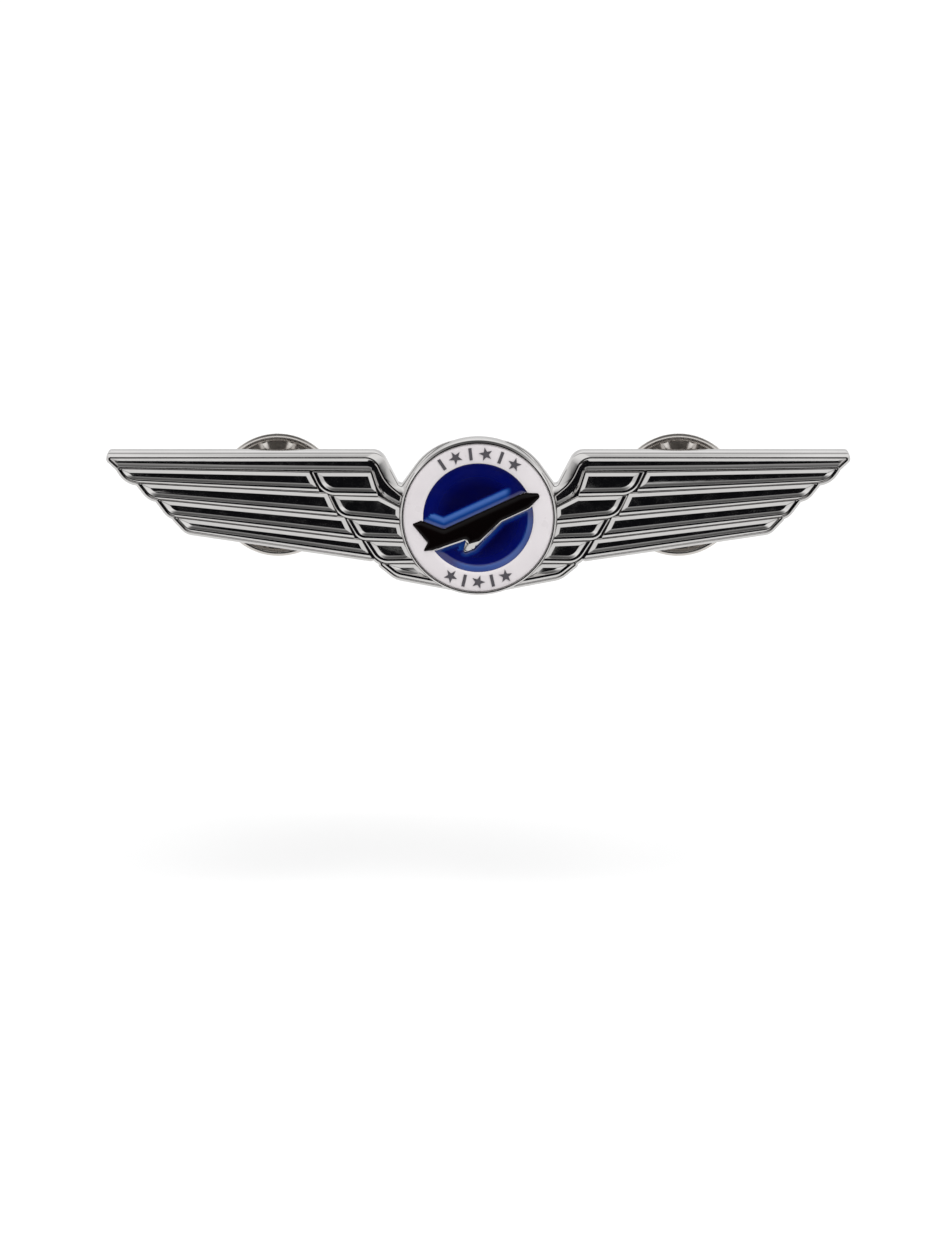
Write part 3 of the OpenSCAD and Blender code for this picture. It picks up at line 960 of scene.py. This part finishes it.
# ---- Materials ----
def material(name, colour, metallic, roughness, coat=0.0):
    made = bpy.data.materials.new(name)
    made.use_nodes = True
    shader = made.node_tree.nodes["Principled BSDF"]
    shader.inputs["Base Color"].default_value = (*colour, 1)
    shader.inputs["Metallic"].default_value = metallic
    shader.inputs["Roughness"].default_value = roughness
    shader.inputs["Coat Weight"].default_value = coat
    shader.inputs["Coat Roughness"].default_value = 0.04
    return made, shader


def noise(made, scale, stretch=(1, 1, 1)):
    """Noise with a number of waves to the metre, which may be stretched along an axis."""
    nodes, links = made.node_tree.nodes, made.node_tree.links
    place = nodes.new("ShaderNodeTexCoord")
    mapping = nodes.new("ShaderNodeMapping")
    mapping.inputs["Scale"].default_value = stretch
    texture = nodes.new("ShaderNodeTexNoise")
    texture.inputs["Scale"].default_value = scale
    texture.inputs["Detail"].default_value = 3
    links.new(place.outputs["Object"], mapping.inputs["Vector"])
    links.new(mapping.outputs["Vector"], texture.inputs["Vector"])
    return texture.outputs["Fac"]


def ranged(made, value, low, high):
    """A value from low to high that follows noise."""
    node = made.node_tree.nodes.new("ShaderNodeMapRange")
    node.inputs["From Min"].default_value = 0.3
    node.inputs["From Max"].default_value = 0.7
    node.inputs["To Min"].default_value = low
    node.inputs["To Max"].default_value = high
    made.node_tree.links.new(value, node.inputs["Value"])
    return node.outputs["Result"]


def colour_mix(tree, factor):
    """The two colour inputs and the output of a node that goes from one to the other."""
    node = tree.nodes.new("ShaderNodeMix")
    node.data_type = "RGBA"
    tree.links.new(factor, node.inputs["Factor"])
    first, second = (socket for socket in node.inputs if socket.type == "RGBA")
    return first, second, next(socket for socket in node.outputs if socket.type == "RGBA")


def blended(made, factor, first, second):
    """A colour that goes from first to second with a factor."""
    start, end, result = colour_mix(made.node_tree, factor)
    start.default_value, end.default_value = (*first, 1), (*second, 1)
    return result


def colour_ramp(nodes, stops):
    """A ramp through (position, colour) stops, of which the first is at 0 and the last at 1."""
    ramp = nodes.new("ShaderNodeValToRGB")
    first, last = ramp.color_ramp.elements
    first.color, last.color = (*stops[0][1], 1), (*stops[-1][1], 1)
    for at, colour in stops[1:-1]:
        ramp.color_ramp.elements.new(at).color = (*colour, 1)
    return ramp


def bumped(made, shader, height, distance):
    """Bumps as deep as a distance in metres."""
    node = made.node_tree.nodes.new("ShaderNodeBump")
    node.inputs["Distance"].default_value = distance
    made.node_tree.links.new(height, node.inputs["Height"])
    made.node_tree.links.new(node.outputs["Normal"], shader.inputs["Normal"])


def metal(name, colour, low, high, grain, bump, stretch=(1, 1, 1)):
    """Plated metal whose roughness varies from low to high and whose surface has a little grain."""
    made, shader = material(name, colour, 1, low)
    links = made.node_tree.links
    darker = tuple(c * 0.86 for c in colour)
    links.new(blended(made, noise(made, 260), darker, colour), shader.inputs["Base Color"])
    links.new(ranged(made, noise(made, 900), low, high), shader.inputs["Roughness"])
    bumped(made, shader, noise(made, grain, stretch), bump)
    return made


def enamel(name, colour, shade, roughness, coat, bump, specular=0.5):
    """Glossy enamel with a slightly uneven colour and surface."""
    made, shader = material(name, colour, 0, roughness, coat)
    shader.inputs["Specular IOR Level"].default_value = specular
    links = made.node_tree.links
    links.new(blended(made, noise(made, 180), shade, colour), shader.inputs["Base Color"])
    links.new(ranged(made, noise(made, 500), roughness, roughness * 1.8), shader.inputs["Roughness"])
    bumped(made, shader, noise(made, 350), bump)
    return made


def blue_enamel():
    """Blue enamel over metal, whose colour goes from near black to light blue where it is thinner and
    where a highlight is painted.
    """
    made, shader = material("blue_enamel", (0.001, 0.004, 0.09), 0, 0.12, 0.8)
    nodes, links = made.node_tree.nodes, made.node_tree.links
    # The attribute holds thinner enamel and painted highlights together.
    thinness_and_highlight = nodes.new("ShaderNodeAttribute")
    thinness_and_highlight.attribute_name = "thinness_and_highlight"
    ramp = colour_ramp(nodes, [
        (0.0, (0.0003, 0.0005, 0.034)), (0.25, (0.0005, 0.003, 0.1)), (0.4, (0.002, 0.02, 0.15)),
        (0.6, (0.006, 0.05, 0.24)), (1.0, (0.055, 0.13, 0.4)),
    ])
    links.new(thinness_and_highlight.outputs["Fac"], ramp.inputs["Fac"])
    links.new(ramp.outputs["Color"], shader.inputs["Base Color"])
    links.new(ranged(made, noise(made, 500), 0.08, 0.2), shader.inputs["Roughness"])
    bumped(made, shader, noise(made, 300), 0.00002)
    return made


# ---- Studio ----
def studio():
    """Light from each direction: bright all round, grey overhead and dark low in front.

    It lights the object and shows in its plating. The camera itself sees plain white behind it.
    """
    world = bpy.data.worlds.new("studio")
    bpy.context.scene.world = world
    world.use_nodes = True
    nodes, links = world.node_tree.nodes, world.node_tree.links
    background = nodes["Background"]
    place = nodes.new("ShaderNodeTexCoord")
    parts = nodes.new("ShaderNodeSeparateXYZ")
    links.new(place.outputs["Generated"], parts.inputs["Vector"])

    def smooth(value, start, end):
        node = nodes.new("ShaderNodeMapRange")
        node.interpolation_type = "SMOOTHSTEP"
        node.inputs["From Min"].default_value = start
        node.inputs["From Max"].default_value = end
        links.new(value, node.inputs["Value"])
        return node.outputs["Result"]

    height = nodes.new("ShaderNodeMapRange")
    height.inputs["From Min"].default_value = -1
    links.new(parts.outputs["Z"], height.inputs["Value"])
    # How bright each height is, from straight below to straight above
    levels = (
        (0, 0.82), (0.5, 0.78), (0.6, 0.64), (0.68, 0.94), (0.77, 0.94), (0.86, 0.36), (0.93, 0.15),
        (1, 0.08),
    )
    ramp = colour_ramp(nodes, [(at, (level, level, level)) for at, level in levels])
    links.new(height.outputs["Result"], ramp.inputs["Fac"])
    # A dark flag stands in front of the object, from a little above its height downwards
    flag = nodes.new("ShaderNodeMath")
    flag.operation = "MULTIPLY"
    links.new(smooth(parts.outputs["Y"], -0.7, -0.86), flag.inputs[0])
    links.new(smooth(parts.outputs["Z"], 0.22, 0.08), flag.inputs[1])
    sky, dark, lit = colour_mix(world.node_tree, flag.outputs[0])
    dark.default_value = (0.004, 0.004, 0.005, 1)
    links.new(ramp.outputs["Color"], sky)
    ray = nodes.new("ShaderNodeLightPath")
    reflected, backdrop, shown = colour_mix(world.node_tree, ray.outputs["Is Camera Ray"])
    backdrop.default_value = (1, 1, 1, 1)
    links.new(lit, reflected)
    links.new(shown, background.inputs["Color"])


def pale_floor():
    """A pale floor below the pin, which no gloss reflects. Its sizes are in metres."""
    half, drop = 2, 0.03
    mesh = bpy.data.meshes.new("floor")
    z = cad_low.z - drop
    corners = [(-half, -half, z), (half, -half, z), (half, half, z), (-half, half, z)]
    mesh.from_pydata(corners, [], [(0, 1, 2, 3)])
    made, _ = material("pale_floor", (0.92, 0.92, 0.92), 0, 0.9)
    mesh.materials.append(made)
    stage = bpy.data.objects.new("floor", mesh)
    bpy.context.scene.collection.objects.link(stage)
    stage.visible_glossy = False


def sun(tilt, strength):
    """A broad soft light from above and in front, which no gloss reflects."""
    light = bpy.data.lights.new("key", "SUN")
    light.energy = strength
    light.angle = math.radians(50)
    lamp = bpy.data.objects.new("key", light)
    toward = Vector((-0.2, math.sin(tilt), -math.cos(tilt)))
    lamp.rotation_euler = toward.to_track_quat("-Z", "Y").to_euler()
    lamp.visible_glossy = False
    bpy.context.scene.collection.objects.link(lamp)


def camera():
    """A long lens in front of the pin, a little above it, with the pin high in the frame."""
    elevation = math.radians(11.2)
    lens, sensor = 150, 36
    view_height = 118.16 * MM
    below_pin, beside_pin = 10.33 * MM, 0.68 * MM
    distance = view_height / 2 / (sensor / 2 / lens)
    back = Vector((0, -math.cos(elevation), math.sin(elevation)))
    up = Vector((0, math.sin(elevation), math.cos(elevation)))
    middle = Vector((0, MEDALLION_FRONT, 0)) * MM
    target = middle - up * below_pin - SIDEWAYS * beside_pin
    data = bpy.data.cameras.new("camera")
    data.lens, data.sensor_width = lens, sensor
    data.clip_start, data.clip_end = 0.01, 20
    lens_object = bpy.data.objects.new("camera", data)
    lens_object.location = target + back * distance
    lens_object.rotation_euler = (-back).to_track_quat("-Z", "Y").to_euler()
    bpy.context.scene.collection.objects.link(lens_object)
    bpy.context.scene.camera = lens_object


# ---- The scene ----
NICKEL = (0.80, 0.785, 0.775)
plating = metal("nickel_rims", NICKEL, 0.05, 0.11, 500, 0.000004)
floors = metal("nickel_floors", NICKEL, 0.08, 0.2, 700, 0.00003, (0.3, 1, 1))
satin_back = metal("satin_back", NICKEL, 0.26, 0.38, 1500, 0.00001)
white = enamel("white_enamel", (0.71, 0.675, 0.69), (0.59, 0.555, 0.57), 0.25, 0.4, 0.00001)
black = enamel("black_enamel", (0.001, 0.001, 0.001), (0.003, 0.001, 0.001), 0.1, 0.0, 0.00001, 0.12)
blue = blue_enamel()
print_ink = enamel("grey_print", (0.05, 0.045, 0.055), (0.075, 0.07, 0.08), 0.45, 0.0, 0.000005)
post_steel = metal("post_steel", (0.62, 0.60, 0.58), 0.18, 0.3, 900, 0.00001, (1, 0.2, 1))
clutch_plating = metal("clutch_plating", (0.82, 0.78, 0.74), 0.18, 0.3, 800, 0.00001)
spring_strip = metal("spring_strip", (0.70, 0.68, 0.65), 0.16, 0.3, 900, 0.00001, (1, 1, 0.2))

badge_casting(plating, floors, satin_back)
white_ring(white)
blue_field(blue, "blue_field_above", "blue_enamel_upper", 1)
blue_field(blue, "blue_field_below", "blue_enamel_lower", -1)
black_aircraft(black)
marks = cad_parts["ring_marks"].data.materials
for i in range(len(marks)):
    marks[i] = print_ink
for side_name in SIDES:
    post(post_steel, side_name)
    collar(clutch_plating, side_name)
    disc(clutch_plating, side_name)
    bridge(spring_strip, side_name)
    arm(spring_strip, side_name, "outer", 1)
    arm(spring_strip, side_name, "inner", -1)

studio()
pale_floor()
sun(math.radians(25), 2.7)
camera()
bpy.context.scene.view_settings.view_transform = "Standard"
